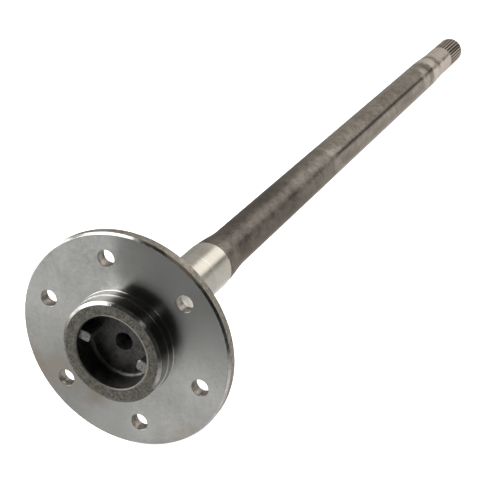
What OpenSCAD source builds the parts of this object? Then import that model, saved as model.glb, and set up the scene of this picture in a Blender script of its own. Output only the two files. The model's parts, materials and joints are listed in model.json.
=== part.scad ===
// Rear axle shaft, forged and turned in one piece
// The axis lies on X. The origin is the centre of the flange's wheel face,
// the wheel pilot stands out towards -X and the splined tail ends at +X.

/* [Flange] */
// Diameter of the wheel flange
flange_d = 165; // [150:0.5:190]
// Thickness of the flange
flange_t = 9.5; // [8:0.5:14]
// Width of the turned chamfer round the wheel face
face_chamfer_w = 1.3; // [0.5:0.1:2.5]
// Depth of that chamfer down the rim
face_chamfer_h = 1.8; // [0.5:0.1:3]
// Rounding of the forged rim's rear edge
rim_round_r = 2; // [0.5:0.1:4]
// Fillet between the back of the flange and the journal
flange_fillet_r = 12; // [4:0.5:18]

/* [Wheel bolt holes] */
// Diameter of the bolt circle
bolt_circle_d = 127; // [112:0.5:138]
// Number of bolt holes
bolt_count = 6; // [4:1:8]
// Diameter of a bolt hole
bolt_hole_d = 12.6; // [10:0.1:16]
// Chamfer of a bolt hole at the back of the flange
hole_chamfer = 1.2; // [0.2:0.1:2]
// Broken edge of a bolt hole at the wheel face
hole_break = 0.3; // [0.1:0.1:1]

/* [Wheel pilot] */
// Diameter of the pilot that centres the wheel
pilot_d = 77.8; // [70:0.1:84]
// Height of the pilot above the wheel face
pilot_h = 17.3; // [13:0.1:24]
// Width of the pilot's end chamfer
pilot_chamfer_w = 2.3; // [0.5:0.1:4]
// Length of the pilot's end chamfer
pilot_chamfer_h = 1.6; // [0.5:0.1:4]
// Step out from the pilot to the ring that centres the drum
drum_step = 0.7; // [0.2:0.1:1.5]
// Height of the drum ring above the wheel face
drum_h = 6.8; // [4:0.1:9]
// Fillet between the drum ring and the wheel face
base_fillet_r = 0.8; // [0.5:0.1:3.5]

/* [Forged recess] */
// Diameter of the recess at its mouth
recess_d = 55.6; // [46:0.1:60]
// Depth of the recess floor below the wheel face
recess_drop = 1.4; // [-4:0.1:3]
// Draft angle of the recess wall
recess_draft = 2; // [0:0.5:6]
// Fillet between the recess wall and floor
recess_fillet_r = 2.5; // [0.5:0.1:5]
// Broken edge at the mouth of the recess
recess_break = 0.8; // [0.2:0.1:1.5]
// Mouth diameter of the lathe centre in the floor
centre_d = 14; // [8:0.5:18]
// Drill diameter at the bottom of that lathe centre
centre_drill_d = 5; // [3:0.1:7]

/* [Driving lugs] */
// Width of a driving lug
lug_w = 8.4; // [6:0.1:14]
// Distance that a lug stands in from the mouth of the recess
lug_reach = 8.8; // [4:0.1:12]
// Distance from the pilot's end down to the lug's front
lug_drop = 3.3; // [1:0.1:10]
// Rounding of the lug's inner corners
lug_round_r = 2.5; // [0.5:0.1:2.8]
// Turn of the lug pair from the line of two bolt holes
lug_turn = -3; // [-30:1:30]

/* [Bearing journal] */
// Diameter of the ground journal
journal_d = 39.8; // [37:0.1:46]
// Distance from the wheel face to the end of the journal
journal_end = 137.5; // [90:0.5:160]
// Chamfer at the end of the journal
journal_chamfer = 0.4; // [0.2:0.1:1]
// Length of the forged taper from the journal to the shaft
taper_l = 40; // [20:1:80]

/* [Shaft] */
// Diameter of the forged shaft
shaft_d = 33.5; // [32:0.1:36]
// Distance from the wheel face to the end of the full shaft
shaft_end = 730; // [500:1:900]
// Length of the shoulder that falls from the shaft to the collar
shoulder_l = 16; // [8:0.5:30]
// Diameter of the collar in the middle of the shoulder
collar_d = 31.6; // [31:0.1:33]
// Length of the collar
collar_l = 6; // [2:0.5:15]
// Length of the fall from the collar to the relief
relief_fall_l = 12; // [6:0.5:24]
// Diameter at the bottom of the relief
relief_d = 30; // [28.5:0.1:30.6]
// Length of the rise from the relief to the neck
relief_rise_l = 11; // [5:0.5:20]
// Diameter of the neck, which is the blank of the spline
neck_d = 30.7; // [30.1:0.1:33]
// Length of the plain neck
neck_l = 17.8; // [5:0.1:40]

/* [Spline] */
// Number of spline teeth
tooth_count = 28; // [20:1:36]
// Depth of the grooves below the neck
tooth_depth = 1.3; // [0.8:0.1:1.8]
// Pressure angle of the involute tooth flanks
pressure_angle = 30; // [25:0.5:37.5]
// Length of the splined tail
spline_l = 51.6; // [25:0.1:90]
// Length over which the grooves run out to the neck
run_out_l = 7; // [3:0.5:12]
// Chamfer at the end of the tail
tail_chamfer = 1.9; // [0.5:0.1:3]
// Mouth diameter of the lathe centre in the tail
tail_centre_d = 9; // [5:0.5:14]
// Drill diameter at the bottom of that lathe centre
tail_drill_d = 3; // [2:0.1:4.5]

/* [Hidden] */
steel = [0.50, 0.48, 0.45];
round_fn = 72;
hole_fn = 48;
taper_steps = 10;
shoulder_steps = 5;
flank_steps = 3;
centre_half_angle = 30;
drill_past_cone = 4;
// Overlap of one form into the next, so that they join as one solid
sink = 0.5;
// Reach of a cut past the surface it starts from
past = 1;
// Depth that a lug is rooted in the recess wall and floor
lug_root = 2;
// Height that the neck stands over the tooth tips, and the teeth's roots over the core
tooth_inset = 0.05;
flange_r = flange_d / 2;
pilot_r = pilot_d / 2;
drum_r = pilot_r + drum_step;
journal_r = journal_d / 2;
shaft_r = shaft_d / 2;
neck_r = neck_d / 2;
mouth_r = recess_d / 2;
collar_start = shaft_end + shoulder_l;
collar_end = collar_start + collar_l;
relief_at = collar_end + relief_fall_l;
neck_start = relief_at + relief_rise_l;
spline_start = neck_start + neck_l;
tail_end = spline_start + spline_l;
tooth_tip_r = neck_r - tooth_inset;
tooth_root_r = neck_r - tooth_depth;
core_r = tooth_root_r - tooth_inset;
// The neck is one module larger than the pitch circle that the teeth are drawn on
pitch_r = neck_r * tooth_count / (tooth_count + 1);
base_r = pitch_r * cos(pressure_angle);

// Points [radius, height] of a smooth S-shaped run between two radii
function s_run(x0, r0, x1, r1, steps, first = 0) = [
    for (i = [first:steps])
        [r0 + (r1 - r0) * (1 - cos(180 * i / steps)) / 2, x0 + (x1 - x0) * i / steps]
];

// Involute function of an angle, in degrees
function involute(angle) = tan(angle) * 180 / PI - angle;

// Half of the angle that a tooth fills at a radius
function half_tooth(r) = 90 / tooth_count + involute(pressure_angle) - involute(acos(base_r / r));

// Points of the toothed section: up one flank and down the other, tooth after tooth
function tooth_points() = [
    for (k = [0:tooth_count - 1])
        for (side = [-1, 1])
            for (i = [0:flank_steps])
                let (
                    rise = side < 0 ? i / flank_steps : 1 - i / flank_steps,
                    r = tooth_root_r + (tooth_tip_r - tooth_root_r) * rise,
                    turn = 360 * k / tooth_count + side * half_tooth(r)
                )
                r * [cos(turn), sin(turn)]
];

// Stands the turned forms, drawn along Z, on the X axis
module on_axis() {
    rotate([0, 90, 0]) children();
}

// Fills an inside corner of the section, open towards the given quarter
module corner_fillet(corner, radius, quarter) {
    translate(corner)
        mirror([quarter[0] < 0 ? 1 : 0, 0])
        mirror([0, quarter[1] < 0 ? 1 : 0])
        difference() {
            translate([-sink, -sink])
                square(radius + sink);
            translate([radius, radius])
                circle(radius, $fn = hole_fn);
        }
}

// Half of the turned outline, from the pilot's end to the tail
module outer_section() {
    polygon(concat(
        [
            [0, -pilot_h],
            [pilot_r - pilot_chamfer_w, -pilot_h],
            [pilot_r, -pilot_h + pilot_chamfer_h],
            [pilot_r, -drum_h],
            [drum_r, -drum_h],
            [drum_r, 0],
            [flange_r - face_chamfer_w, 0],
            [flange_r, face_chamfer_h],
            [flange_r, flange_t],
            [journal_r, flange_t],
            [journal_r, journal_end - journal_chamfer]
        ],
        s_run(journal_end, journal_r - journal_chamfer, journal_end + taper_l, shaft_r, taper_steps),
        s_run(shaft_end, shaft_r, collar_start, collar_d / 2, shoulder_steps),
        s_run(collar_end, collar_d / 2, relief_at, relief_d / 2, shoulder_steps),
        s_run(relief_at, relief_d / 2, neck_start, neck_r, shoulder_steps, 1),
        [
            [neck_r, spline_start],
            [core_r, spline_start + run_out_l],
            [core_r, tail_end],
            [0, tail_end]
        ]
    ));
    corner_fillet([drum_r, 0], base_fillet_r, [1, -1]);
    corner_fillet([journal_r, flange_t], flange_fillet_r, [1, 1]);
}

// Half of the forged recess: broken mouth, drafted wall, filleted floor
module recess_section() {
    foot_r = mouth_r - (pilot_h + recess_drop) * tan(recess_draft);
    fillet_at = [
        foot_r - recess_fillet_r * (1 - sin(recess_draft)) / cos(recess_draft),
        recess_drop - recess_fillet_r
    ];
    polygon([
        [0, -pilot_h - past],
        [mouth_r + recess_break + past, -pilot_h - past],
        [mouth_r - recess_break * tan(recess_draft), -pilot_h + recess_break],
        fillet_at + recess_fillet_r * [cos(recess_draft), sin(recess_draft)],
        fillet_at + recess_fillet_r * [0, 1],
        [0, recess_drop]
    ]);
    translate(fillet_at)
        circle(recess_fillet_r, $fn = hole_fn);
}

// The turned blank with its recess and the forged rim's rounded rear edge
module turned_blank() {
    rotate_extrude($fn = round_fn)
        difference() {
            outer_section();
            recess_section();
            translate([flange_r - rim_round_r, flange_t - rim_round_r])
                difference() {
                    square(rim_round_r + past);
                    circle(rim_round_r, $fn = hole_fn);
                }
        }
}

// The two forged lugs that stand in from the recess wall
module driving_lugs() {
    tip_r = mouth_r - lug_reach;
    half_flat = lug_w / 2 - lug_round_r;
    for (side = [0, 180])
        rotate([0, 0, 120 + lug_turn + side])
            translate([0, 0, -pilot_h + lug_drop])
            linear_extrude(pilot_h - lug_drop + recess_drop + lug_root) {
                translate([tip_r + lug_round_r, -lug_w / 2])
                    square([lug_reach - lug_round_r + lug_root, lug_w]);
                translate([tip_r, -half_flat])
                    square([lug_round_r + sink, 2 * half_flat]);
                for (edge = [-1, 1])
                    translate([tip_r + lug_round_r, edge * half_flat])
                        circle(lug_round_r, $fn = hole_fn);
            }
}

// The spline teeth, rooted in the neck
module spline_teeth() {
    translate([0, 0, spline_start - sink])
        linear_extrude(spline_l + sink)
        polygon(tooth_points());
}

// The ring cut away for the tail's end chamfer
module tail_chamfer_cut() {
    rotate_extrude($fn = round_fn)
        polygon([
            [neck_r - tail_chamfer - past, tail_end + past],
            [neck_r + past, tail_end - tail_chamfer - past],
            [neck_r + past, tail_end + past]
        ]);
}

// The wheel bolt holes, chamfered at the back of the flange and broken at the wheel face
module bolt_holes() {
    hole_r = bolt_hole_d / 2;
    for (k = [0:bolt_count - 1])
        rotate([0, 0, k * 360 / bolt_count])
            translate([bolt_circle_d / 2, 0, 0]) {
                translate([0, 0, -past])
                    cylinder(h = flange_t + 2 * past, r = hole_r, $fn = hole_fn);
                translate([0, 0, -past])
                    cylinder(
                        h = hole_break + past,
                        r1 = hole_r + hole_break + past,
                        r2 = hole_r,
                        $fn = hole_fn
                    );
                translate([0, 0, flange_t - hole_chamfer])
                    cylinder(
                        h = hole_chamfer + past,
                        r1 = hole_r,
                        r2 = hole_r + hole_chamfer + past,
                        $fn = hole_fn
                    );
            }
}

// A lathe centre bored along +Z from the origin
module lathe_centre(mouth_d, drill_d) {
    cone_h = (mouth_d - drill_d) / 2 / tan(centre_half_angle);
    past_r = past * tan(centre_half_angle);
    translate([0, 0, -past])
        cylinder(h = cone_h + past, r1 = mouth_d / 2 + past_r, r2 = drill_d / 2, $fn = hole_fn);
    cylinder(h = cone_h + drill_past_cone, r = drill_d / 2, $fn = hole_fn);
}

module axle_shaft() {
    color(steel)
        on_axis()
        difference() {
            union() {
                turned_blank();
                driving_lugs();
                spline_teeth();
            }
            bolt_holes();
            translate([0, 0, recess_drop])
                lathe_centre(centre_d, centre_drill_d);
            translate([0, 0, tail_end])
                mirror([0, 0, 1])
                lathe_centre(tail_centre_d, tail_drill_d);
            tail_chamfer_cut();
        }
}

axle_shaft();
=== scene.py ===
import bmesh
import bpy
import json
import math
from mathutils import Matrix, Vector


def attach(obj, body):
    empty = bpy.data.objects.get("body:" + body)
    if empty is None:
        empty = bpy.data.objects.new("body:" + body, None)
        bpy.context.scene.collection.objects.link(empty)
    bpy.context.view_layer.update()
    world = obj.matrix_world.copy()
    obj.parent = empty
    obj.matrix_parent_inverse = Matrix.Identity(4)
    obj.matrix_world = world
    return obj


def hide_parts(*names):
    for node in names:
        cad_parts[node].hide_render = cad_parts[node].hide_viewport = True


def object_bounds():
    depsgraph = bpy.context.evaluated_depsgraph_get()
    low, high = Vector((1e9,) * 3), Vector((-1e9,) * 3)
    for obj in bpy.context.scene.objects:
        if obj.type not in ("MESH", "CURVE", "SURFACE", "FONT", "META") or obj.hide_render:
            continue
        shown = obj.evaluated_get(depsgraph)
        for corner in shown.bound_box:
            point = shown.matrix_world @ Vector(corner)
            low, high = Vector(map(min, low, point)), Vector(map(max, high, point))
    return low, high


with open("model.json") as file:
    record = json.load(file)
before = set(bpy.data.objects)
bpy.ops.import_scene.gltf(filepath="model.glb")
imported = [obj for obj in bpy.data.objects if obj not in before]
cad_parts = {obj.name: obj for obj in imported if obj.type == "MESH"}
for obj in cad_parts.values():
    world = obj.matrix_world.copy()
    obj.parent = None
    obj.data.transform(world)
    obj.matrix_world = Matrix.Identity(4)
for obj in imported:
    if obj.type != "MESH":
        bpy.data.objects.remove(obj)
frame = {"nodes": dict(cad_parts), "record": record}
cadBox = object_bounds()
mm = 0.001
mounts = {mount["name"]: mount["dims"] for mount in frame["record"]["mounts"]}
scene = bpy.context.scene
print("frame loaded:", sorted(frame["nodes"]))


# Node helpers, shared by the geometry trees and the materials

def addNode(tree, kind, inputs=None, **settings):
    node = tree.nodes.new(kind)
    for name, value in settings.items():
        setattr(node, name, value)
    for key, value in (inputs or {}).items():
        if isinstance(value, bpy.types.NodeSocket):
            tree.links.new(value, node.inputs[key])
        else:
            node.inputs[key].default_value = value
    return node


def firstOutput(tree, kind, inputs=None, **settings):
    return addNode(tree, kind, inputs, **settings).outputs[0]


def calc(tree, operation, *values, clamp=False):
    inputs = dict(enumerate(values))
    return firstOutput(tree, "ShaderNodeMath", inputs, operation=operation, use_clamp=clamp)


def dotOf(tree, a, b):
    return addNode(tree, "ShaderNodeVectorMath", {0: a, 1: b}, operation="DOT_PRODUCT").outputs["Value"]


# Smooth 0 to 1 ramp of a value between two ends
def ramp(tree, value, low, high, toLow=0.0, toHigh=1.0):
    node = addNode(
        tree, "ShaderNodeMapRange",
        {"Value": value, "From Min": low, "From Max": high, "To Min": toLow, "To Max": toHigh},
        interpolation_type="SMOOTHSTEP",
    )
    return node.outputs["Result"]


# Distance from the shaft's axis, which is X
def radiusOf(tree, at):
    squares = [calc(tree, "MULTIPLY", at[axis], at[axis]) for axis in "YZ"]
    return calc(tree, "SQRT", calc(tree, "ADD", *squares))


# Geometry of the shaft

outlineSizes = {
    "centreMouth": 7.0 * mm, "centreDrill": 2.5 * mm, "drillPastCone": 4.0 * mm,
    "coneAngle": math.radians(30), "floorDepth": 1.4 * mm, "recessMouth": 27.8 * mm,
    "recessDraft": math.radians(2), "recessFillet": 2.5 * mm, "mouthBreak": 0.8 * mm,
    "endChamferWide": 2.3 * mm, "endChamferLong": 1.6 * mm, "drumStep": 0.7 * mm, "drumHigh": 6.8 * mm,
    "baseFillet": 0.8 * mm, "faceChamferWide": 1.3 * mm, "faceChamferDeep": 1.8 * mm,
    "flangeThick": 9.5 * mm, "rimRound": 2.0 * mm, "flangeFillet": 12.0 * mm,
    "journalEnd": 137.5 * mm, "journalChamfer": 0.4 * mm, "taperLong": 40.0 * mm,
    "shaftRadius": 16.75 * mm, "turnedFrom": 717.0 * mm, "shaftEnd": 730.0 * mm,
    "shoulderLong": 16.0 * mm, "collarRadius": 15.8 * mm, "collarLong": 6.0 * mm,
    "reliefFall": 12.0 * mm, "reliefRadius": 15.0 * mm, "reliefRise": 11.0 * mm,
    "neckRadius": 15.35 * mm, "neckLong": 17.8 * mm, "tailChamfer": 1.9 * mm, "runOut": 7.0 * mm,
    "rootRadius": 14.05 * mm, "tailMouth": 4.5 * mm, "tailDrill": 1.5 * mm,
    "edgeBreak": 0.25 * mm, "fineBreak": 0.15 * mm, "stepBreak": 0.4 * mm,
}
meshSizes = {
    "shaftRing": 4.0 * mm, "faceRing": 6.0 * mm, "arcStep": math.radians(11), "leastArcSteps": 3,
    "curveSteps": 14, "runOutSteps": 7, "mergeWithin": 1e-7,
}


# A corner of the outline, replaced by an arc that is tangent to both sides
def roundedCorner(before, corner, after, radius):
    a, b = (before - corner).normalized(), (after - corner).normalized()
    half = a.angle(b) / 2
    sweep = math.pi - 2 * half
    middle = corner + (a + b).normalized() * radius / math.sin(half)
    start = corner + a * radius / math.tan(half) - middle
    side = 1 if a.cross(b) < 0 else -1
    steps = max(meshSizes["leastArcSteps"], math.ceil(sweep / meshSizes["arcStep"]))
    return [middle + Matrix.Rotation(side * sweep * i / steps, 2) @ start for i in range(steps + 1)]


# Points between two radii along a smooth S
def sRun(x0, r0, x1, r1):
    steps = meshSizes["curveSteps"]
    return [
        (x0 + (x1 - x0) * i / steps, r0 + (r1 - r0) * (1 - math.cos(math.pi * i / steps)) / 2, 0)
        for i in range(steps + 1)
    ]


# Corners (distance along the axis, radius, rounding) from the recess centre round to the tail centre
def shaftCorners(s):
    lo, hi = cadBox
    front, tail, flange = lo.x, hi.x, hi.z
    pilot, journal = (mounts[name]["r_mm"] * mm for name in ("wheel_pilot", "bearing_journal"))
    drum, thick, floor = pilot + s["drumStep"], s["flangeThick"], s["floorDepth"]
    edge, fine = s["edgeBreak"], s["fineBreak"]
    coneEnd = floor + (s["centreMouth"] - s["centreDrill"]) / math.tan(s["coneAngle"])
    drillEnd = coneEnd + s["drillPastCone"]
    foot = s["recessMouth"] - (floor - front) * math.tan(s["recessDraft"])
    taperStart, taperRadius = s["journalEnd"], journal - s["journalChamfer"]
    collarStart = s["shaftEnd"] + s["shoulderLong"]
    collarEnd = collarStart + s["collarLong"]
    relief = collarEnd + s["reliefFall"]
    neckStart = relief + s["reliefRise"]
    splineStart = neckStart + s["neckLong"]
    rootCut = tail - s["tailChamfer"] + s["neckRadius"] - s["rootRadius"]
    tailConeEnd = tail - (s["tailMouth"] - s["tailDrill"]) / math.tan(s["coneAngle"])
    tailDrillEnd = tailConeEnd - s["drillPastCone"]
    corners = [
        (drillEnd, 0, 0),
        (drillEnd, s["centreDrill"], 0),
        (coneEnd, s["centreDrill"], 0),
        (floor, s["centreMouth"], 2 * edge),
        (floor, foot, s["recessFillet"]),
        (front + s["mouthBreak"], s["recessMouth"], edge),
        (front, s["recessMouth"] + s["mouthBreak"], edge),
        (front, pilot - s["endChamferWide"], edge),
        (front + s["endChamferLong"], pilot, edge),
        (-s["drumHigh"], pilot, fine),
        (-s["drumHigh"], drum, s["stepBreak"]),
        (0, drum, s["baseFillet"]),
        (0, flange - s["faceChamferWide"], edge),
        (s["faceChamferDeep"], flange, edge),
        (thick, flange, s["rimRound"]),
        (thick, journal, s["flangeFillet"]),
        (taperStart - s["journalChamfer"], journal, fine),
    ]
    corners += sRun(taperStart, taperRadius, taperStart + s["taperLong"], s["shaftRadius"])
    corners += sRun(s["shaftEnd"], s["shaftRadius"], collarStart, s["collarRadius"])
    corners += sRun(collarEnd, s["collarRadius"], relief, s["reliefRadius"])
    corners += sRun(relief, s["reliefRadius"], neckStart, s["neckRadius"])[1:]
    steps = meshSizes["runOutSteps"]
    corners += [(splineStart + s["runOut"] * i / steps, s["neckRadius"], 0) for i in range(steps + 1)]
    corners += [
        (tail - s["tailChamfer"], s["neckRadius"], 0),
        (rootCut, s["rootRadius"], 0),
        (tail, s["neckRadius"] - s["tailChamfer"], fine),
        (tail, s["tailMouth"], fine),
        (tailConeEnd, s["tailDrill"], 0),
        (tailDrillEnd, s["tailDrill"], 0),
        (tailDrillEnd, 0, 0),
    ]
    return corners, splineStart


# The outline with its corners rounded and its long runs split into rings
def fullOutline(corners):
    points = []
    for i, (x, r, rounding) in enumerate(corners):
        here = Vector((x, r))
        if rounding:
            before, after = (Vector(corners[j][:2]) for j in (i - 1, i + 1))
            points += roundedCorner(before, here, after, rounding)
        else:
            points.append(here)
    outline = [points[0]]
    for a, b in zip(points, points[1:]):
        onShaft = min(a.x, b.x) > outlineSizes["journalEnd"]
        ring = meshSizes["shaftRing" if onShaft else "faceRing"]
        pieces = max(1, math.ceil((b - a).length / ring)) if a.y * b.y > 0 else 1
        outline += [a.lerp(b, k / pieces) for k in range(1, pieces + 1)]
    return outline


def endMesh(bm, name):
    mesh = bpy.data.meshes.new(name)
    bm.to_mesh(mesh)
    bm.free()
    return mesh


# An outline turned round the X axis into a closed mesh
def turnedMesh(name, outline, turns, start=0.0, shift=(0, 0, 0)):
    bm = bmesh.new()
    verts = [bm.verts.new((x, -r * math.sin(start), r * math.cos(start))) for x, r in outline]
    edges = [bm.edges.new(pair) for pair in zip(verts, verts[1:])]
    bmesh.ops.spin(
        bm, geom=verts + edges, axis=(1, 0, 0), cent=(0, 0, 0), angle=2 * math.pi, steps=turns,
        use_merge=True,
    )
    bmesh.ops.remove_doubles(bm, verts=bm.verts, dist=meshSizes["mergeWithin"])
    bmesh.ops.recalc_face_normals(bm, faces=bm.faces)
    bmesh.ops.translate(bm, verts=bm.verts, vec=shift)
    return endMesh(bm, name)


def makeObject(name, data):
    obj = bpy.data.objects.new(name, data)
    scene.collection.objects.link(obj)
    return obj


lugSizes = {
    "count": 2, "turn": math.radians(27), "wide": 8.4 * mm, "tip": 19.0 * mm, "root": 29.0 * mm,
    "front": -14.0 * mm, "foot": 3.4 * mm, "cornerRound": 2.5 * mm, "cornerSteps": 8,
    "topRound": 1.1 * mm, "topSteps": 5, "roundProfile": 0.5, "levelWithin": 1e-6,
}


# One driving lug, standing in from the recess wall along +Y
def lugMesh(s):
    bm = bmesh.new()
    bmesh.ops.create_cube(bm, size=1)
    size = Vector((s["foot"] - s["front"], s["root"] - s["tip"], s["wide"]))
    middle = Vector(((s["foot"] + s["front"]) / 2, (s["root"] + s["tip"]) / 2, 0))
    bmesh.ops.scale(bm, verts=bm.verts, vec=size)
    bmesh.ops.translate(bm, verts=bm.verts, vec=middle)

    def roundEdges(edges, radius, steps):
        bmesh.ops.bevel(
            bm, geom=edges, offset=radius, segments=steps, profile=s["roundProfile"], affect="EDGES",
        )

    atTip = [
        e for e in bm.edges
        if all(v.co.y < middle.y for v in e.verts) and e.verts[0].co.z * e.verts[1].co.z > 0
    ]
    roundEdges(atTip, s["cornerRound"], s["cornerSteps"])
    atTop = [
        e for e in bm.edges
        if all(v.co.x < middle.x for v in e.verts) and not all(v.co.y > middle.y for v in e.verts)
        and abs(e.verts[0].co.x - e.verts[1].co.x) < s["levelWithin"]
    ]
    roundEdges(atTop, s["topRound"], s["topSteps"])
    return endMesh(bm, "lug")


holeSizes = {
    "count": mounts["wheel_bolts"]["count"], "turn": math.radians(30),
    "circle": mounts["wheel_bolts"]["pcd_mm"] / 2 * mm, "radius": mounts["wheel_bolts"]["hole_r_mm"] * mm,
    "frontBreak": 0.3 * mm, "backChamfer": 1.2 * mm, "past": 1.0 * mm, "turns": 64,
}


# The tool that cuts one bolt hole, at its place on the +Y side
def holeCutter(s):
    thick, past, r = outlineSizes["flangeThick"], s["past"], s["radius"]
    outline = [
        (-past, 0), (-past, r + s["frontBreak"] + past), (s["frontBreak"], r),
        (thick - s["backChamfer"], r), (thick + past, r + s["backChamfer"] + past), (thick + past, 0),
    ]
    halfStep = math.pi / s["turns"]  # keeps its points off the shaft's own
    return turnedMesh("holeCutter", outline, s["turns"], halfStep, (0, s["circle"], 0))


def startTree(name, inputs):
    tree = bpy.data.node_groups.new(name, "GeometryNodeTree")
    tree.interface.new_socket("Geometry", in_out="INPUT", socket_type="NodeSocketGeometry")
    for label, kind in inputs.items():
        tree.interface.new_socket(label, in_out="INPUT", socket_type="NodeSocket" + kind)
    tree.interface.new_socket("Geometry", in_out="OUTPUT", socket_type="NodeSocketGeometry")
    return tree, tree.nodes.new("NodeGroupInput").outputs


def endTree(tree, geometry):
    addNode(tree, "NodeGroupOutput", {"Geometry": geometry})
    return tree


def useTree(obj, tree, values=None):
    modifier = obj.modifiers.new(tree.name, "NODES")
    modifier.node_group = tree
    identifiers = {i.name: i.identifier for i in tree.interface.items_tree if i.in_out == "INPUT"}
    for label, value in (values or {}).items():
        modifier[identifiers[label]] = value


def positionOf(tree):
    return firstOutput(tree, "GeometryNodeInputPosition")


# Distance along the axis, radius and turn of each point
def axisFields(tree):
    at = addNode(tree, "ShaderNodeSeparateXYZ", {0: positionOf(tree)}).outputs
    return at["X"], radiusOf(tree, at), calc(tree, "ARCTAN2", at["Z"], at["Y"])


# A value that follows straight lines from point to point
def stepCurve(tree, factor, points):
    node = addNode(tree, "ShaderNodeFloatCurve", {"Value": factor})
    curve = node.mapping.curves[0]
    for x, y in points[1:-1]:
        curve.points.new(x, y)
    for point, place in zip(curve.points, points):
        point.location = place
        point.handle_type = "VECTOR"
    node.mapping.update()
    return node.outputs[0]


splineSizes = {
    "teeth": 28, "pointsPerTooth": 8, "tipInset": 0.05 * mm, "startMargin": 1e-6,
    "moved": [(0, 0), (0.25, 0.33), (0.5, 0.56), (0.75, 0.74), (1, 1)],  # from mid tooth to mid groove
    "high": [(0, 1), (0.25, 1), (0.75, 0), (1, 0)],
}


# Draws the blank's points in round the tail to form the teeth
def splineTree(s):
    tree, given = startTree("splineTeeth", {
        "Teeth": "Int", **dict.fromkeys(("Tip", "Root", "Neck", "Start", "RunOut"), "Float"),
    })
    along, radius, angle = axisFields(tree)
    halfPitch = 0.5
    pitch = calc(tree, "DIVIDE", 2 * math.pi, given["Teeth"])
    turn = calc(tree, "DIVIDE", angle, pitch)
    tooth = calc(tree, "ROUND", turn)
    offset = calc(tree, "SUBTRACT", turn, tooth)
    across = calc(tree, "MULTIPLY", calc(tree, "ABSOLUTE", offset), 1 / halfPitch)
    moved = calc(tree, "MULTIPLY", stepCurve(tree, across, s["moved"]), calc(tree, "SIGN", offset))
    newAngle = calc(tree, "MULTIPLY", calc(tree, "MULTIPLY_ADD", moved, halfPitch, tooth), pitch)
    depth = calc(tree, "SUBTRACT", given["Tip"], given["Root"])
    toothRadius = calc(tree, "MULTIPLY_ADD", depth, stepCurve(tree, across, s["high"]), given["Root"])
    inFrom = calc(tree, "SUBTRACT", along, given["Start"])
    deep = calc(tree, "DIVIDE", inFrom, given["RunOut"], clamp=True)
    fall = calc(tree, "SUBTRACT", given["Root"], given["Neck"])
    runOut = calc(tree, "MULTIPLY_ADD", fall, deep, given["Neck"])
    newRadius = calc(tree, "MINIMUM", radius, calc(tree, "MAXIMUM", toothRadius, runOut))
    place = firstOutput(tree, "ShaderNodeCombineXYZ", {
        "X": along,
        "Y": calc(tree, "MULTIPLY", newRadius, calc(tree, "COSINE", newAngle)),
        "Z": calc(tree, "MULTIPLY", newRadius, calc(tree, "SINE", newAngle)),
    })
    start = calc(tree, "SUBTRACT", given["Start"], s["startMargin"])
    onSpline = firstOutput(tree, "FunctionNodeCompare", {0: along, 1: start})
    shaped = firstOutput(tree, "GeometryNodeSetPosition", {
        "Geometry": given["Geometry"], "Selection": onSpline, "Position": place,
    })
    return endTree(tree, shaped)


noiseMiddle = 0.5
noiseEnds = (0.3, 0.7)  # most of a noise lies between these
skinSizes = {
    "Shaft Wave": 0.10 * mm, "Shaft Grain": 0.05 * mm, "Rim Wave": 0.25 * mm, "Wave Scale": 60.0,
    "Grain Scale": 260.0,
}
skinPlaces = {
    "shaftFrom": 139 * mm, "shaftTo": 398 * mm, "fade": 12 * mm, "rimRadius": 81.3 * mm,
    "rimFade": 0.5 * mm, "rimFrom": 2.2 * mm, "rimRise": 0.6 * mm, "detail": 2.0,
}


# The slight unevenness that the forge leaves on the shaft and on the rim
def skinTree(s):
    tree, given = startTree("forgedSkin", {label: "Float" for label in skinSizes})
    along, radius, _ = axisFields(tree)
    where = positionOf(tree)
    wave, grain = (
        firstOutput(tree, "ShaderNodeTexNoise", {
            "Vector": where, "Scale": given[scale], "Detail": s["detail"],
        })
        for scale in ("Wave Scale", "Grain Scale")
    )
    shaft = calc(
        tree, "MULTIPLY", ramp(tree, along, s["shaftFrom"], s["shaftFrom"] + s["fade"]),
        ramp(tree, along, s["shaftTo"] - s["fade"], s["shaftTo"], 1.0, 0.0),
    )
    bumps = [
        calc(tree, "MULTIPLY", calc(tree, "SUBTRACT", noise, noiseMiddle), given[high])
        for noise, high in ((wave, "Shaft Wave"), (grain, "Shaft Grain"))
    ]
    onRim = calc(
        tree, "MULTIPLY", ramp(tree, radius, s["rimRadius"], s["rimRadius"] + s["rimFade"]),
        ramp(tree, along, s["rimFrom"], s["rimFrom"] + s["rimRise"]),
    )
    rim = calc(tree, "MULTIPLY", calc(tree, "MULTIPLY", grain, given["Rim Wave"]), onRim)
    lift = calc(tree, "SUBTRACT", calc(tree, "MULTIPLY", calc(tree, "ADD", *bumps), shaft), rim)
    normal = firstOutput(tree, "GeometryNodeInputNormal")
    push = firstOutput(tree, "ShaderNodeVectorMath", {0: normal, "Scale": lift}, operation="SCALE")
    moved = {"Geometry": given["Geometry"], "Offset": push}
    return endTree(tree, firstOutput(tree, "GeometryNodeSetPosition", moved))


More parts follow.
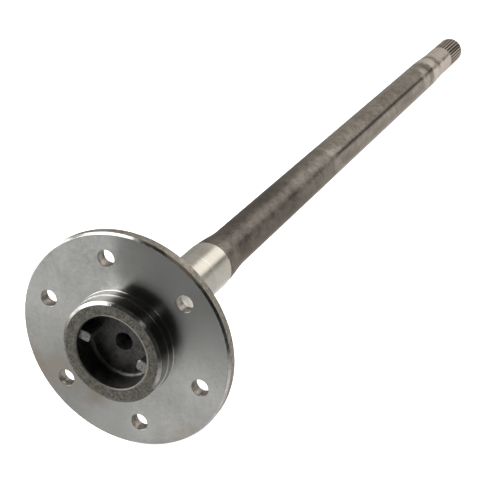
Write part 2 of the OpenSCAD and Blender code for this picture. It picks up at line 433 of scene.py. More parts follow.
# Copies of one tool spaced evenly round the axis, joined to the shaft or cut from it
def roundAxisTree(name, operation):
    tree, given = startTree(name, {"Tool": "Object", "Count": "Int", "Turn": "Float"})
    tool = addNode(tree, "GeometryNodeObjectInfo", {"Object": given["Tool"], "As Instance": True})
    spots = firstOutput(tree, "GeometryNodeMeshLine", {"Count": given["Count"], "Offset": (0, 0, 0)})
    step = calc(tree, "DIVIDE", 2 * math.pi, given["Count"])
    index = firstOutput(tree, "GeometryNodeInputIndex")
    turn = firstOutput(tree, "FunctionNodeAxisAngleToRotation", {
        "Axis": (1, 0, 0), "Angle": calc(tree, "MULTIPLY_ADD", index, step, given["Turn"]),
    })
    copies = firstOutput(tree, "GeometryNodeInstanceOnPoints", {
        "Points": spots, "Instance": tool.outputs["Geometry"], "Rotation": turn,
    })
    solid = firstOutput(tree, "GeometryNodeRealizeInstances", {"Geometry": copies})
    joined = addNode(tree, "GeometryNodeMeshBoolean", operation=operation, solver="EXACT")
    tree.links.new(given["Geometry"], joined.inputs["Mesh 1" if operation == "DIFFERENCE" else "Mesh 2"])
    tree.links.new(solid, joined.inputs["Mesh 2"])
    return endTree(tree, joined.outputs[0])


# Gives each zone of the shaft its finish, and keeps the sharp edges sharp
def finishTree(zones, finishes, sharpAngle):
    tree, given = startTree("shopFinish", {})
    along, radius, _ = axisFields(tree)
    geometry = firstOutput(tree, "GeometryNodeRealizeInstances", {"Geometry": given["Geometry"]})
    angle = addNode(tree, "GeometryNodeInputMeshEdgeAngle").outputs["Unsigned Angle"]
    sharp = firstOutput(tree, "FunctionNodeCompare", {0: angle, 1: sharpAngle})
    geometry = firstOutput(tree, "GeometryNodeSetShadeSmooth", {"Geometry": geometry, "Shade Smooth": True})
    geometry = firstOutput(tree, "GeometryNodeSetShadeSmooth", {
        "Geometry": geometry, "Selection": sharp, "Shade Smooth": False,
    }, domain="EDGE")
    for finish, alongEnds, radiusEnds in zones:
        inside = True
        for value, ends in ((along, alongEnds), (radius, radiusEnds)):
            for limit, test in zip(ends, ("GREATER_THAN", "LESS_THAN")):
                within = firstOutput(tree, "FunctionNodeCompare", {0: value, 1: limit}, operation=test)
                inside = firstOutput(tree, "FunctionNodeBooleanMath", {0: inside, 1: within})
        geometry = firstOutput(tree, "GeometryNodeSetMaterial", {
            "Geometry": geometry, "Selection": inside, "Material": finishes[finish],
        })
    return endTree(tree, geometry)


# Shader groups that several finishes share

def startGroup(name, inputs, outputs):
    group = bpy.data.node_groups.new(name, "ShaderNodeTree")
    for label, (kind, value) in inputs.items():
        socket = group.interface.new_socket(label, in_out="INPUT", socket_type="NodeSocket" + kind)
        if value is not None:
            socket.default_value = value
    for label, kind in outputs.items():
        group.interface.new_socket(label, in_out="OUTPUT", socket_type="NodeSocket" + kind)
    return group, group.nodes.new("NodeGroupInput").outputs


def endGroup(group, outputs):
    addNode(group, "NodeGroupOutput", outputs)
    return group


def useGroup(tree, group, inputs=None):
    return addNode(tree, "ShaderNodeGroup", inputs, node_tree=group).outputs


noiseLook = {
    "rings": {"Scale": 1.0, "Detail": 3.0, "Roughness": 0.65}, "stain": {"Detail": 5.0},
    "patch": {"Detail": 4.0, "Roughness": 0.6}, "grain": {"Detail": 3.0, "Roughness": 0.7},
}


# A noise, stretched so that it runs from 0 to 1
def noiseOn(tree, kind, inputs, ends=noiseEnds, **settings):
    noise = firstOutput(tree, "ShaderNodeTexNoise", {**inputs, **noiseLook[kind]}, **settings)
    return ramp(tree, noise, *ends)


# Place on the shaft: along the axis, out from it, and as a point
def axisGroup():
    group, _ = startGroup("shaftPlace", {}, {"Along": "Float", "Radius": "Float", "Point": "Vector"})
    point = addNode(group, "ShaderNodeTexCoord").outputs["Object"]
    at = addNode(group, "ShaderNodeSeparateXYZ", {0: point}).outputs
    return endGroup(group, {"Along": at["X"], "Radius": radiusOf(group, at), "Point": point})


# Fine turned or ground lines along a coordinate
def ringGroup():
    group, given = startGroup("cutterRings", {
        "Along": ("Float", 0.0), "Lines": ("Float", 1500.0),
    }, {"Rings": "Float"})
    lines = calc(group, "MULTIPLY", given["Along"], given["Lines"])
    return endGroup(group, {"Rings": noiseOn(group, "rings", {"W": lines}, noise_dimensions="1D")})


# Blotches and grain of steel that has been through the forge or the oil
def mottleGroup():
    group, given = startGroup("forgeMottle", {
        "Point": ("Vector", None), "Patch Scale": ("Float", 60.0), "Grain Scale": ("Float", 400.0),
    }, {"Patch": "Float", "Grain": "Float"})
    return endGroup(group, {
        "Patch": noiseOn(group, "patch", {"Vector": given["Point"], "Scale": given["Patch Scale"]}),
        "Grain": noiseOn(group, "grain", {"Vector": given["Point"], "Scale": given["Grain Scale"]}),
    })


# Oil that has dried on the steel in patches
def stainGroup():
    group, given = startGroup("oilStain", {
        "Point": ("Vector", None), "Shift": ("Vector", None), "Scale": ("Float", 16.0),
        "Low": ("Float", 0.5), "High": ("Float", 0.7),
    }, {"Mask": "Float"})
    point = firstOutput(group, "ShaderNodeVectorMath", {0: given["Point"], 1: given["Shift"]})
    spread = {"Vector": point, "Scale": given["Scale"]}
    return endGroup(group, {"Mask": noiseOn(group, "stain", spread, (given["Low"], given["High"]))})


# How far round to one side of the shaft a point is
def sideGroup():
    group, given = startGroup("sideMask", {
        "Point": ("Vector", None), "Side": ("Vector", None), "Low": ("Float", 0.0), "High": ("Float", 1.0),
    }, {"Mask": "Float"})
    reach = dotOf(group, given["Point"], given["Side"])
    return endGroup(group, {"Mask": ramp(group, reach, given["Low"], given["High"])})


bandInputs = {
    "Along": ("Float", 0.0), "Centre": ("Float", 0.0), "Half": ("Float", 1.0 * mm),
    "Soft": ("Float", 1.0 * mm), "Wander": ("Float", 0.0),
}


# One soft-edged ring round the shaft, whose edges wander with a patchy noise
def bandGroup():
    inputs = {**bandInputs, "Patch": ("Float", noiseMiddle)}
    group, given = startGroup("ringBand", inputs, {"Mask": "Float"})
    wander = calc(group, "MULTIPLY", calc(group, "SUBTRACT", given["Patch"], noiseMiddle), given["Wander"])
    along = calc(group, "ADD", given["Along"], wander)
    away = calc(group, "ABSOLUTE", calc(group, "SUBTRACT", along, given["Centre"]))
    outer = calc(group, "ADD", given["Half"], given["Soft"])
    return endGroup(group, {"Mask": ramp(group, away, given["Half"], outer, 1.0, 0.0)})


shaftPlace, cutterRings, forgeMottle = axisGroup(), ringGroup(), mottleGroup()
oilStain, sideMask, ringBand = stainGroup(), sideGroup(), bandGroup()
toneEnds = (0.1, 0.9)


# A ring on one side of the shaft, broken up by blotches; it carries lighter marks in the finish and bands
# of painted light and painted shade
def brokenGroup():
    group, given = startGroup("brokenBand", {
        **bandInputs, "Point": ("Vector", None), "Blot Scale": ("Float", 75.0),
        "Blot Least": ("Float", 0.5), "Side": ("Vector", None), "Side Low": ("Float", 0.0),
        "Side High": ("Float", 1.0),
    }, {"Mask": "Float"})
    point, bandAt = given["Point"], {label: given[label] for label in bandInputs}
    blot = useGroup(group, forgeMottle, {"Point": point, "Patch Scale": given["Blot Scale"]})["Patch"]
    broken = ramp(group, blot, *toneEnds, given["Blot Least"], 1.0)
    band = useGroup(group, ringBand, {**bandAt, "Patch": blot})["Mask"]
    side = useGroup(group, sideMask, {
        "Point": point, "Side": given["Side"], "Low": given["Side Low"], "High": given["Side High"],
    })["Mask"]
    return endGroup(group, {"Mask": calc(group, "MULTIPLY", calc(group, "MULTIPLY", band, broken), side)})


brokenBand = brokenGroup()


# The groups placed in a material, with a finish's own values

def linesOn(tree, along, look):
    return useGroup(tree, cutterRings, {"Along": along, "Lines": look["lines"]})["Rings"]


def mottleOn(tree, place, look):
    return useGroup(tree, forgeMottle, {
        "Point": place["Point"], "Patch Scale": look["patchScale"], "Grain Scale": look["grainScale"],
    })


def sideOn(tree, place, side, edges):
    low, high = edges
    return useGroup(tree, sideMask, {
        "Point": place["Point"], "Side": side, "Low": low, "High": high,
    })["Mask"]


def bandValues(place, band):
    centre, half, soft, wander = band
    return {"Along": place["Along"], "Centre": centre, "Half": half, "Soft": soft, "Wander": wander}


def bandOn(tree, place, mottle, band):
    return useGroup(tree, ringBand, {**bandValues(place, band), "Patch": mottle["Patch"]})["Mask"]


def brokenOn(tree, place, look, mark):
    low, high = look[mark + "Side"]
    return useGroup(tree, brokenBand, {
        **bandValues(place, look[mark + "Band"]), "Point": place["Point"], "Blot Scale": look["blotScale"],
        "Blot Least": look[mark + "Blot"], "Side": look["side"], "Side Low": low, "Side High": high,
    })["Mask"]


# From one colour to another as the factor goes from 0 to 1; 6, 7 and 2 are colour sockets
def mixColour(tree, factor, a, b):
    return addNode(tree, "ShaderNodeMix", {0: factor, 6: a, 7: b}, data_type="RGBA").outputs[2]


# The same for two values
def blended(tree, factor, a, b):
    return firstOutput(tree, "ShaderNodeMix", {0: factor, 2: a, 3: b})


# Two values, the first with the given share
def shared(tree, a, b, share):
    return calc(tree, "MULTIPLY_ADD", a, share, calc(tree, "MULTIPLY", b, 1 - share))


# Colour and roughness that follow one tone
def toned(tree, tone, look):
    colour = mixColour(tree, tone, look["dark"], look["light"])
    return colour, ramp(tree, tone, *toneEnds, *look["roughness"])


glintTurn = 0.25  # a quarter turn, so that glints stretch across the cutter's lines


# A steel finish: the colour, roughness and height go to one shader
def steelFinish(name, build, look):
    material = bpy.data.materials.new(name)
    material.use_nodes = True
    tree = material.node_tree
    shader = tree.nodes["Principled BSDF"]
    shader.inputs["Metallic"].default_value = look["metallic"]
    colour, roughness, height = build(tree, useGroup(tree, shaftPlace), look)
    relief = {"Height": height, "Strength": 1.0, "Distance": look["bump"]}
    tree.links.new(colour, shader.inputs["Base Color"])
    tree.links.new(roughness, shader.inputs["Roughness"])
    tree.links.new(firstOutput(tree, "ShaderNodeBump", relief), shader.inputs["Normal"])
    if "edgeTint" in look:
        shader.inputs["Specular Tint"].default_value = look["edgeTint"]
    if "anisotropic" in look:
        shader.inputs["Anisotropic"].default_value = look["anisotropic"]
        shader.inputs["Anisotropic Rotation"].default_value = glintTurn
        tangent = firstOutput(tree, "ShaderNodeTangent", direction_type="RADIAL", axis="X")
        tree.links.new(tangent, shader.inputs["Tangent"])
    return material


# Wheel face, turned and ground
groundLook = {
    "dark": (0.24, 0.24, 0.229, 1), "light": (0.39, 0.389, 0.375, 1), "roughness": (0.21, 0.27),
    "metallic": 1.0, "anisotropic": 1.0, "lines": 1400.0, "ringShare": 0.2, "patchShare": 0.6,
    "patchScale": 24.0, "grainScale": 300.0, "bump": 0.001 * mm, "stain": (0.29, 0.262, 0.222, 1),
    "stainScale": 16.0, "stainEdges": (0.56, 0.72), "stainShift": (0, 0.017, 0.07),
}


def groundFinish(tree, place, look):
    rings, mottle = linesOn(tree, place["Radius"], look), mottleOn(tree, place, look)
    cloud = shared(tree, mottle["Patch"], mottle["Grain"], look["patchShare"])
    colour, roughness = toned(tree, shared(tree, rings, cloud, look["ringShare"]), look)
    low, high = look["stainEdges"]
    stained = useGroup(tree, oilStain, {
        "Point": place["Point"], "Shift": look["stainShift"], "Scale": look["stainScale"],
        "Low": low, "High": high,
    })["Mask"]
    return mixColour(tree, stained, colour, look["stain"]), roughness, rings


# Chamfer round the face, cut bright, with one stretch that the cutter left dull
chamferLook = {
    "dark": (0.33, 0.315, 0.285, 1), "light": (0.54, 0.53, 0.505, 1), "roughness": (0.16, 0.3),
    "metallic": 0.93, "anisotropic": 0.4, "lines": 1400.0, "ringShare": 0.2, "patchShare": 0.6,
    "patchScale": 90.0, "grainScale": 300.0, "bump": 0.001 * mm, "stain": (0.25, 0.222, 0.18, 1),
    "stainScale": 60.0, "stainEdges": (0.58, 0.76), "stainShift": (0, 0, 0),
    "dull": (0.46, 0.41, 0.335, 1), "dullRoughness": 0.62, "dullSide": (0, -0.719, 0.695),
    "dullEdges": (80.0 * mm, 81.4 * mm),
}


def chamferFinish(tree, place, look):
    colour, roughness, rings = groundFinish(tree, place, look)
    dull = sideOn(tree, place, look["dullSide"], look["dullEdges"])
    roughness = blended(tree, dull, roughness, look["dullRoughness"])
    return mixColour(tree, dull, colour, look["dull"]), roughness, rings


# Sides of the pilot, turned, and walls of the bolt holes, drilled and a little stained
pilotLook = {
    "dark": (0.25, 0.248, 0.238, 1), "light": (0.38, 0.376, 0.36, 1), "roughness": (0.14, 0.24),
    "metallic": 1.0, "anisotropic": 0.4, "lines": 2200.0, "ringShare": 0.6,
    "patchScale": 60.0, "grainScale": 400.0, "bump": 0.002 * mm,
}
holeLook = {
    "dark": (0.025, 0.022, 0.017, 1), "light": (0.36, 0.33, 0.285, 1), "roughness": (0.28, 0.44),
    "metallic": 0.95, "lines": 1500.0, "ringShare": 0.15,
    "patchScale": 200.0, "grainScale": 640.0, "bump": 0.02 * mm,
}


def linedFinish(tree, place, look):
    rings, mottle = linesOn(tree, place["Along"], look), mottleOn(tree, place, look)
    return *toned(tree, shared(tree, rings, mottle["Patch"], look["ringShare"]), look), rings


# Chamfer at the pilot's end: bright metal towards the upper right, nearly black and rougher towards the
# lower left
pilotEdgeLook = {
    "dark": (0.24, 0.238, 0.228, 1), "light": (0.37, 0.366, 0.35, 1), "roughness": (0.11, 0.18),
    "metallic": 0.95, "patchScale": 150.0, "grainScale": 640.0, "bump": 0.02 * mm,
    "brightSide": (0, -0.6, 0.8), "brightEdges": (-8 * mm, 10 * mm),
    "black": (0.02, 0.018, 0.014, 1), "grey": (0.2, 0.192, 0.165, 1), "blackRoughness": 0.5,
}


def pilotEdgeFinish(tree, place, look):
    mottle = mottleOn(tree, place, look)
    cut = sideOn(tree, place, look["brightSide"], look["brightEdges"])
    colour, roughness = toned(tree, mottle["Patch"], look)
    darkerSideColour = mixColour(tree, mottle["Grain"], look["black"], look["grey"])
    roughness = blended(tree, cut, look["blackRoughness"], roughness)
    return mixColour(tree, cut, darkerSideColour, colour), roughness, mottle["Grain"]


# Surfaces that are grainy as the forge left them
endLook = {
    "dark": (0.014, 0.012, 0.009, 1), "light": (0.2, 0.19, 0.161, 1), "roughness": (0.4, 0.58),
    "metallic": 0.9, "patchScale": 480.0, "grainScale": 1050.0, "bump": 0.2 * mm,
    # painted highlight: a pale ring just outside the recess mouth, on one side only
    "paintedLipHighlight": (0.36, 0.345, 0.305, 1), "paintedLipHighlightEdges": (28.8 * mm, 29.8 * mm), "paintedLipHighlightShare": 0.75,
    "paintedLipHighlightSide": (0, -0.92, 0.4), "paintedLipHighlightSideEdges": (2 * mm, 20 * mm),
}
rimLook = {
    "dark": (0.045, 0.037, 0.026, 1), "light": (0.40, 0.362, 0.30, 1), "roughness": (0.38, 0.55),
    "metallic": 0.9, "patchScale": 150.0, "grainScale": 460.0, "bump": 0.2 * mm,
}
backLook = {
    "dark": (0.085, 0.075, 0.061, 1), "light": (0.27, 0.247, 0.212, 1), "roughness": (0.4, 0.55),
    "metallic": 0.9, "patchScale": 90.0, "grainScale": 420.0, "bump": 0.12 * mm,
}
recessLook = {
    "dark": (0.03, 0.03, 0.029, 1), "light": (0.115, 0.112, 0.107, 1), "roughness": (0.36, 0.55),
    "metallic": 0.9, "patchScale": 130.0, "grainScale": 420.0, "bump": 0.12 * mm,
}
lugLook = {
    "dark": (0.06, 0.06, 0.057, 1), "light": (0.31, 0.305, 0.294, 1), "roughness": (0.34, 0.5),
    "metallic": 0.9, "patchScale": 260.0, "grainScale": 640.0, "bump": 0.09 * mm,
}
filletLook = {
    "dark": (0.06, 0.059, 0.057, 1), "light": (0.2, 0.197, 0.19, 1), "roughness": (0.44, 0.56),
    "metallic": 0.95, "patchScale": 150.0, "grainScale": 500.0, "bump": 0.03 * mm,
}
lipLook = {
    "dark": (0.07, 0.067, 0.058, 1), "light": (0.25, 0.24, 0.212, 1), "roughness": (0.5, 0.65),
    "metallic": 0.7, "patchScale": 220.0, "grainScale": 640.0, "bump": 0.05 * mm,
}
grainShare = 0.55


def grainyFinish(tree, place, look):
    mottle = mottleOn(tree, place, look)
    tone = shared(tree, mottle["Grain"], mottle["Patch"], grainShare)
    return *toned(tree, tone, look), tone


# The pilot's end, with a painted highlight along the lip of the recess on one side
def endFinish(tree, place, look):
    colour, roughness, height = grainyFinish(tree, place, look)
    lip = ramp(tree, place["Radius"], *look["paintedLipHighlightEdges"], look["paintedLipHighlightShare"], 0.0)
    paintedLipHighlight = calc(tree, "MULTIPLY", lip, sideOn(tree, place, look["paintedLipHighlightSide"], look["paintedLipHighlightSideEdges"]))
    return mixColour(tree, paintedLipHighlight, colour, look["paintedLipHighlight"]), roughness, height


# Bearing journal, ground bright, with fine lines where the rollers' width and the ground stretch end, and a
# broad pale band of painted light behind the flange, where the journal is seen through the bolt holes
journalLook = {
    "dark": (0.26, 0.242, 0.205, 1), "light": (0.42, 0.392, 0.345, 1), "roughness": (0.27, 0.35),
    "metallic": 1.0, "anisotropic": 0.2, "lines": 2600.0, "ringShare": 0.4,
    "patchScale": 45.0, "grainScale": 400.0, "bump": 0.002 * mm,
    "line": (0.405, 0.382, 0.342, 1), "lineBand": (112 * mm, 0.25 * mm, 0.35 * mm, 0),
    "edge": (0.6, 0.575, 0.53, 1), "edgeBand": (137.3 * mm, 0.4 * mm, 0.4 * mm, 0),
    # painted light: a broad pale band behind the flange, where the journal is seen through the bolt holes
    "paintedHoleSheen": (0.82, 0.8, 0.76, 1), "paintedHoleSheenBand": (40 * mm, 16 * mm, 22 * mm, 30 * mm),
}


def journalFinish(tree, place, look):
    colour, roughness, rings = linedFinish(tree, place, look)
    mottle = mottleOn(tree, place, look)
    # the first mark is painted light, the other two are the fine lines
    for mark in ("paintedHoleSheen", "line", "edge"):
        colour = mixColour(tree, bandOn(tree, place, mottle, look[mark + "Band"]), colour, look[mark])
    return colour, roughness, rings


# Forging scale, rubbed smoother on the far part, with painted shade some way past the journal, a lighter
# ring where the rubbed part begins, and close to the tail a band of painted light, a band of painted shade
# and a lighter ring at the end of the turned passes
shaftLook = {
    "dark": (0.058, 0.051, 0.043, 1), "light": (0.235, 0.212, 0.186, 1), "roughness": (0.32, 0.48),
    "metallic": 0.95, "edgeTint": (0.6, 0.575, 0.54, 1), "bump": 0.16 * mm, "smoothBump": 0.12,
    "patchScale": 150.0, "grainScale": 520.0, "broadScale": 28.0, "grainShare": 0.5, "fineShare": 0.7,
    "roughTones": (0.02, 0.98), "rubbedTones": (0.05, 0.95),
    "smoothDark": (0.125, 0.109, 0.093, 1), "smoothLight": (0.265, 0.238, 0.208, 1),
    "smoothRoughness": 0.23, "smoothEdges": (378 * mm, 402 * mm), "rubbedEdges": (290 * mm, 430 * mm),
    # painted shade: a darker stretch of the shaft some way past the journal
    "paintedShade": (0.04, 0.035, 0.03, 1), "paintedShadeBand": (230 * mm, 30 * mm, 90 * mm, 0), "paintedShadeShare": 0.35,
    "side": (0, 0.608, 0.795), "blotScale": 75.0,
    "ring": (0.25, 0.226, 0.197, 1), "ringBand": (388 * mm, 1.0 * mm, 7.0 * mm, 10 * mm),
    "ringBlot": 0.5, "ringSide": (-40 * mm, -30 * mm),
    # pale and deep: painted light and painted shade, standing in for how the surface close to the tail
    # catches the light
    "pale": (0.40, 0.362, 0.316, 1), "paleBand": (690 * mm, 2.0 * mm, 14.0 * mm, 13 * mm),
    "paleBlot": 0.45, "paleSide": (18 * mm, 0 * mm), "paleRoughness": 0.34,
    "deep": (0.13, 0.112, 0.096, 1), "deepBand": (705 * mm, 0.5 * mm, 9.0 * mm, 9 * mm),
    "deepBlot": 0.55, "deepSide": (-14 * mm, 2 * mm),
    "turned": (0.43, 0.388, 0.34, 1), "turnedBand": (719 * mm, 1.0 * mm, 7.0 * mm, 9 * mm),
    "turnedBlot": 0.8, "turnedSide": (-40 * mm, -30 * mm),
}


def shaftFinish(tree, place, look):
    mottle = mottleOn(tree, place, look)
    broad = useGroup(tree, forgeMottle, {
        "Point": place["Point"], "Patch Scale": look["broadScale"],
    })["Patch"]
    fine = shared(tree, mottle["Grain"], mottle["Patch"], look["grainShare"])
    tone = shared(tree, fine, broad, look["fineShare"])
    smooth = ramp(tree, place["Along"], *look["smoothEdges"])
    rough, roughness = toned(tree, ramp(tree, tone, *look["roughTones"]), look)
    # painted shade some way past the journal
    paintedShadeMask = calc(tree, "MULTIPLY", bandOn(tree, place, mottle, look["paintedShadeBand"]), look["paintedShadeShare"])
    rough = mixColour(tree, paintedShadeMask, rough, look["paintedShade"])
    rubbedTone = ramp(tree, tone, *look["rubbedTones"])
    rubbed = mixColour(tree, rubbedTone, look["smoothDark"], look["smoothLight"])
    colour = mixColour(tree, ramp(tree, place["Along"], *look["rubbedEdges"]), rough, rubbed)
    # ring and turned are lighter marks in the finish; pale and deep are painted light and painted shade
    masks = {mark: brokenOn(tree, place, look, mark) for mark in ("ring", "pale", "deep", "turned")}
    for mark, mask in masks.items():
        colour = mixColour(tree, mask, colour, look[mark])
    roughness = blended(tree, smooth, roughness, look["smoothRoughness"])
    roughness = blended(tree, masks["pale"], roughness, look["paleRoughness"])
    evened = ramp(tree, smooth, 0, 1, 1.0, look["smoothBump"])
    return colour, roughness, calc(tree, "MULTIPLY", tone, evened)


# Turned neck and the reliefs before it, with a band of painted light before the shoulder and painted shade
# on the shoulder's slope
neckLook = {
    "dark": (0.33, 0.282, 0.24, 1), "light": (0.49, 0.435, 0.383, 1), "roughness": (0.24, 0.36),
    "metallic": 1.0, "anisotropic": 0.2, "edgeTint": (0.75, 0.72, 0.69, 1), "lines": 500.0,
    "ringShare": 0.75, "patchScale": 60.0, "grainScale": 400.0, "bump": 0.006 * mm,
    "side": (0, 0.608, 0.795), "blotScale": 75.0,
    # pale and deep: painted light before the shoulder and painted shade on its slope
    "pale": (0.47, 0.428, 0.38, 1), "paleBand": (727 * mm, 1.0 * mm, 12.0 * mm, 12 * mm),
    "paleBlot": 0.4, "paleSide": (40 * mm, 20 * mm),
    "deep": (0.085, 0.07, 0.058, 1), "deepBand": (741.0 * mm, 2.2 * mm, 10.0 * mm, 7 * mm),
    "deepBlot": 0.6, "deepSide": (-12 * mm, -3 * mm),
}


def neckFinish(tree, place, look):
    colour, roughness, rings = linedFinish(tree, place, look)
    for mark in ("pale", "deep"):
        colour = mixColour(tree, brokenOn(tree, place, look, mark), colour, look[mark])
    return colour, roughness, rings


# Spline teeth, with painted shade down in the grooves
toothLook = {
    "groove": (0.022, 0.016, 0.011, 1), "dark": (0.34, 0.29, 0.248, 1), "light": (0.54, 0.485, 0.43, 1),
    "roughness": (0.28, 0.42), "metallic": 1.0, "edgeTint": (0.6, 0.56, 0.52, 1),
    "patchScale": 120.0, "grainScale": 500.0, "bump": 0.008 * mm, "grooveEdges": (14.6 * mm, 15.25 * mm),
}


def toothFinish(tree, place, look):
    mottle = mottleOn(tree, place, look)
    top = ramp(tree, place["Radius"], *look["grooveEdges"])
    land, roughness = toned(tree, mottle["Patch"], look)
    # painted shade in the grooves
    return mixColour(tree, top, look["groove"], land), roughness, mottle["Grain"]


finishBuilds = {
    "ground": ("groundFace", groundFinish, groundLook),
    "chamfer": ("turnedChamfer", chamferFinish, chamferLook),
    "pilot": ("turnedPilot", linedFinish, pilotLook),
    "pilotEdge": ("pilotChamfer", pilotEdgeFinish, pilotEdgeLook),
    "end": ("forgedEnd", endFinish, endLook),
    "recess": ("forgedRecess", grainyFinish, recessLook),
    "fillet": ("forgedFillet", grainyFinish, filletLook),
    "lug": ("forgedLug", grainyFinish, lugLook),
    "lip": ("recessLip", grainyFinish, lipLook),
    "rim": ("forgedRim", grainyFinish, rimLook),
    "back": ("forgedBack", grainyFinish, backLook),
    "hole": ("drilledHole", linedFinish, holeLook),
    "journal": ("groundJournal", journalFinish, journalLook),
    "shaft": ("forgedShaft", shaftFinish, shaftLook),
    "neck": ("turnedNeck", neckFinish, neckLook),
    "tooth": ("cutSpline", toothFinish, toothLook),
}
finishes = {zone: steelFinish(*build) for zone, build in finishBuilds.items()}
print("finishes made:", len(finishes))


zoneSizes = {
    "tiny": 0.02 * mm, "far": 1.0, "holeMargin": 1.5 * mm, "lugMargin": 0.9 * mm, "filletMargin": 1.0 * mm,
    "lipMargin": 1.0 * mm, "journalMargin": 8 * mm, "forgedShare": 0.6, "sharpAngle": math.radians(34),
}


# Zones (finish, along the axis, radius), a later one over an earlier one
def finishZones(s, z, splineStart):
    front, flange, pilot = cadBox[0].x, cadBox[1].z, mounts["wheel_pilot"]["r_mm"] * mm
    tiny, far, lug = z["tiny"], z["far"], lugSizes
    thick, fillet, shaft = s["flangeThick"], s["flangeFillet"], s["shaftRadius"]
    floor, mouth, backEnd = s["floorDepth"], s["recessMouth"], thick + fillet
    faceEdge, pilotEdge = flange - s["faceChamferWide"], pilot - s["endChamferWide"]
    hole = holeSizes["radius"] + z["holeMargin"]
    holes = (holeSizes["circle"] - hole, holeSizes["circle"] + hole)
    chamferEnd, filletFoot = front + s["endChamferLong"], mouth - s["recessFillet"] - z["filletMargin"]
    return [
        ("shaft", (-far, far), (-far, far)),
        ("rim", (tiny, backEnd), (pilot, far)),
        ("back", (thick - tiny, backEnd), (shaft, flange - s["rimRound"] + tiny)),
        ("chamfer", (-tiny, s["faceChamferDeep"]), (faceEdge - s["edgeBreak"], far)),
        ("hole", (tiny, thick + tiny), holes),
        ("back", (thick - tiny, thick + tiny), holes),
        ("ground", (-tiny, tiny), (pilot, faceEdge + tiny)),
        ("pilot", (front - tiny, -tiny), (pilotEdge, far)),
        ("pilotEdge", (front - tiny, chamferEnd + tiny), (pilotEdge - s["edgeBreak"], far)),
        ("recess", (front + tiny, floor + tiny), (-far, mouth + s["mouthBreak"])),
        ("recess", (0, backEnd), (-far, s["centreMouth"] + tiny)),
        ("lug", (lug["front"] - tiny, -s["mouthBreak"]), (lug["tip"] - tiny, mouth - z["lugMargin"])),
        ("fillet", (floor - s["recessFillet"], floor - tiny), (filletFoot, mouth)),
        ("lip", (front + tiny, front + s["mouthBreak"] + tiny), (mouth - tiny, mouth + z["lipMargin"])),
        ("end", (front - tiny, front + 2 * tiny), (mouth, pilotEdge)),
        ("journal", (thick + fillet * z["forgedShare"], s["journalEnd"] + tiny),
         (shaft, shaft + z["journalMargin"])),
        ("neck", (s["turnedFrom"], splineStart), (-far, far)),
        ("tooth", (splineStart, far), (-far, far)),
        ("neck", (splineStart, far), (-far, s["rootRadius"] - tiny)),
    ]


def makeShaft(s):
    corners, splineStart = shaftCorners(s)
    outline = fullOutline(corners)
    print("outline points:", len(outline))
    turns = splineSizes["teeth"] * splineSizes["pointsPerTooth"]
    blank = makeObject("shaftBlank", turnedMesh("shaftBlank", outline, turns))
    lug, cutter = makeObject("lug", lugMesh(lugSizes)), makeObject("cutter", holeCutter(holeSizes))
    for tool in (blank, lug, cutter):
        tool.data.materials.append(finishes["shaft"])
    useTree(blank, splineTree(splineSizes), {
        "Teeth": splineSizes["teeth"], "Tip": s["neckRadius"] - splineSizes["tipInset"],
        "Root": s["rootRadius"], "Neck": s["neckRadius"], "Start": splineStart, "RunOut": s["runOut"],
    })
    useTree(blank, skinTree(skinPlaces), skinSizes)
    patterns = (("drivingLugs", "UNION", lug, lugSizes), ("boltHoles", "DIFFERENCE", cutter, holeSizes))
    for name, operation, tool, sizes in patterns:
        tree = roundAxisTree(name, operation)
        useTree(blank, tree, {"Tool": tool, "Count": sizes["count"], "Turn": sizes["turn"]})
    useTree(blank, finishTree(finishZones(s, zoneSizes, splineStart), finishes, zoneSizes["sharpAngle"]))
    weighted = blank.modifiers.new("weightedNormals", "WEIGHTED_NORMAL")
    weighted.keep_sharp = True
    seen = blank.evaluated_get(bpy.context.evaluated_depsgraph_get())
    shaft = makeObject("axleShaft", bpy.data.meshes.new_from_object(seen))
    for tool in (blank, lug, cutter):
        bpy.data.objects.remove(tool)
    mesh = shaft.data
    triangles = sum(len(p.vertices) - 2 for p in mesh.polygons)
    print("shaft made:", len(mesh.vertices), "points,", triangles, "triangles")
    return shaft


axleShaft = makeShaft(outlineSizes)
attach(axleShaft, "root")
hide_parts("axle_shaft")


# Stage, light and camera

def sheetMesh(name, corners, material):
    mesh = bpy.data.meshes.new(name)
    mesh.from_pydata(corners, [], [(0, 1, 2, 3)])
    mesh.materials.append(material)
    return mesh


floorLook = {
    "reach": 30.0, "colour": (0.8, 0.8, 0.8, 1), "black": (0, 0, 0, 1), "glow": 0.9, "mirrorGlow": 0.55,
    "rimAt": 9.5 * mm, "gap": 0.5 * mm,
    "fadeSide": (-0.733, -0.681, 0), "fadeEdges": (0.04, 0.22), "fadeTo": 0.05,
    "footShade": 0.27, "footEdges": (0.03, 0.17), "leftShade": 0.42, "leftEdges": (0.0, 0.12),
}


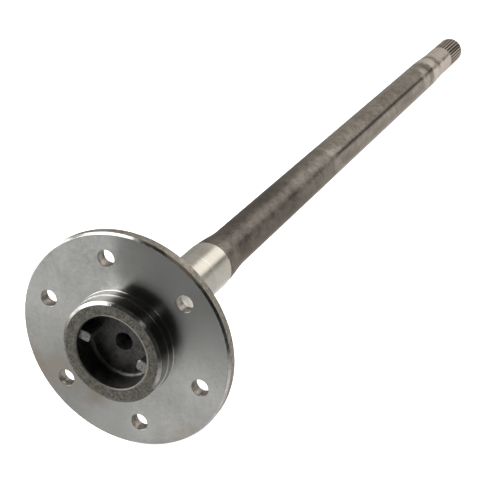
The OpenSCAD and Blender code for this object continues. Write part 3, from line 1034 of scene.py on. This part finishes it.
# Pale floor with the shaft's shadow; the metal sees it grow dark toward the camera, the foot and the left
def floorMaterial(look, foot):
    material = bpy.data.materials.new("paleFloor")
    material.use_nodes = True
    tree = material.node_tree
    tree.nodes.clear()
    path = addNode(tree, "ShaderNodeLightPath").outputs
    place = addNode(tree, "ShaderNodeTexCoord").outputs["Object"]
    away = addNode(tree, "ShaderNodeVectorMath", {0: place, 1: foot}, operation="DISTANCE")
    left = addNode(tree, "ShaderNodeSeparateXYZ", {0: place}).outputs["Y"]
    toward = dotOf(tree, place, look["fadeSide"])
    shade = ramp(tree, toward, *look["fadeEdges"], 0.0, 1 - look["fadeTo"])
    atFoot = ramp(tree, away.outputs["Value"], *look["footEdges"], look["footShade"], 0.0)
    atLeft = ramp(tree, left, *look["leftEdges"], 0.0, look["leftShade"])
    shade = calc(tree, "MAXIMUM", calc(tree, "MAXIMUM", shade, atFoot), atLeft)
    mirrored = calc(tree, "MAXIMUM", path["Is Glossy Ray"], path["Is Transmission Ray"])
    lost = calc(tree, "MULTIPLY", mirrored, shade)
    seen = mixColour(tree, lost, look["colour"], look["black"])
    matt = firstOutput(tree, "ShaderNodeBsdfDiffuse", {"Color": seen})
    mirrorGlow = calc(tree, "MULTIPLY", mirrored, look["mirrorGlow"])
    shown = calc(tree, "MULTIPLY_ADD", path["Is Camera Ray"], look["glow"], mirrorGlow)
    strength = calc(tree, "MULTIPLY", shown, calc(tree, "SUBTRACT", 1.0, lost))
    glow = firstOutput(tree, "ShaderNodeEmission", {"Strength": strength})
    lit = firstOutput(tree, "ShaderNodeAddShader", {0: matt, 1: glow})
    under = addNode(tree, "ShaderNodeNewGeometry").outputs["Backfacing"]
    clear = firstOutput(tree, "ShaderNodeBsdfTransparent")
    both = firstOutput(tree, "ShaderNodeMixShader", {0: under, 1: lit, 2: clear})
    addNode(tree, "ShaderNodeOutputMaterial", {"Surface": both})
    return material


# Floor that the rim and the tail both touch
def makeFloor(look):
    far, rim, reach = cadBox[1].x, cadBox[1].z, look["reach"]
    rise = math.atan2(rim - outlineSizes["neckRadius"], far - look["rimAt"])
    tilt = Matrix.Rotation(-rise, 4, "Y")
    foot = Vector((look["rimAt"], 0, -rim - look["gap"]))
    square = ((-reach, -reach), (reach, -reach), (reach, reach), (-reach, reach))
    corners = [tilt @ Vector((x, y, 0)) + foot for x, y in square]
    makeObject("floor", sheetMesh("floor", corners, floorMaterial(look, foot)))


lamps = {
    "leftBox": {"place": (-0.05, 1.05, 0.34), "aim": (0.05, 0, 0), "size": (1.3, 0.7), "power": 7.2},
    "topBox": {
        "place": (-0.475, 0.712, 0.67), "aim": (0.090, 0.407, -0.096), "size": (0.8, 1.7), "power": 20.2,
    },
    "rightStrip": {
        "place": (0.98, -0.41, 0.488), "aim": (0.98, 0.03, 0.028), "size": (0.75, 0.8), "power": 4.6,
    },
    "flash": {"place": (-0.996, -0.44, 0.362), "aim": (0, 0, 0), "size": (0.09, 0.09), "power": 0.05},
    "lensLamp": {"place": (-1.076, -0.182, 0.139), "aim": (0, 0, 0), "size": (0.07, 0.07), "power": 0.123},
}


def makeLamps():
    for name, look in lamps.items():
        data = bpy.data.lights.new(name, "AREA")
        data.shape = "RECTANGLE"
        data.size, data.size_y = look["size"]
        data.energy = look["power"]
        lamp = makeObject(name, data)
        lamp.location = look["place"]
        facing = Vector(look["aim"]) - Vector(look["place"])
        lamp.rotation_euler = facing.to_track_quat("-Z", "Y").to_euler()


flagLook = {
    "x": (0.75, 2.7), "y": -0.6, "z": (0.115, 0.325), "colour": (0.01, 0.01, 0.01, 1), "roughness": 0.9,
}


# A dark strip beside the set, which only the metal sees
def makeFlag(look):
    material = bpy.data.materials.new("darkFlag")
    material.use_nodes = True
    shader = material.node_tree.nodes["Principled BSDF"]
    shader.inputs["Base Color"].default_value = look["colour"]
    shader.inputs["Roughness"].default_value = look["roughness"]
    (x0, x1), (z0, z1) = look["x"], look["z"]
    corners = [(x, look["y"], z) for x, z in ((x0, z0), (x1, z0), (x1, z1), (x0, z1))]
    flag = makeObject("darkFlag", sheetMesh("darkFlag", corners, material))
    flag.visible_camera = flag.visible_shadow = flag.visible_diffuse = False


worldLook = {
    "shade": (0.03, 0.03, 0.03, 1), "pale": (1.0, 0.985, 0.96, 1),
    "paleSide": (0.95, -0.12, 0.25), "paleEdges": (0.45, 0.98),
}


# A studio that is pale behind the tail and dark on the camera's side
def makeWorld(look):
    world = bpy.data.worlds.new("studio")
    scene.world = world
    world.use_nodes = True
    tree = world.node_tree
    tree.nodes.clear()
    direction = addNode(tree, "ShaderNodeTexCoord").outputs["Generated"]
    facing = dotOf(tree, direction, Vector(look["paleSide"]).normalized())
    colour = mixColour(tree, ramp(tree, facing, *look["paleEdges"]), look["shade"], look["pale"])
    background = firstOutput(tree, "ShaderNodeBackground", {"Color": colour})
    addNode(tree, "ShaderNodeOutputWorld", {"Surface": background})


cameraLook = {
    "place": (-0.6475, -0.4484, 0.3442), "turn": (69.865, 8.702, -65.201), "lens": 91.38, "sensor": 36.0,
}


def makeCamera(look):
    data = bpy.data.cameras.new("camera")
    data.lens, data.sensor_width = look["lens"], look["sensor"]
    camera = makeObject("camera", data)
    camera.location = look["place"]
    camera.rotation_euler = [math.radians(a) for a in look["turn"]]
    scene.camera = camera


makeFloor(floorLook)
makeLamps()
makeFlag(flagLook)
makeWorld(worldLook)
makeCamera(cameraLook)
scene.view_settings.view_transform = "Standard"
print("stage, lamps and camera set")
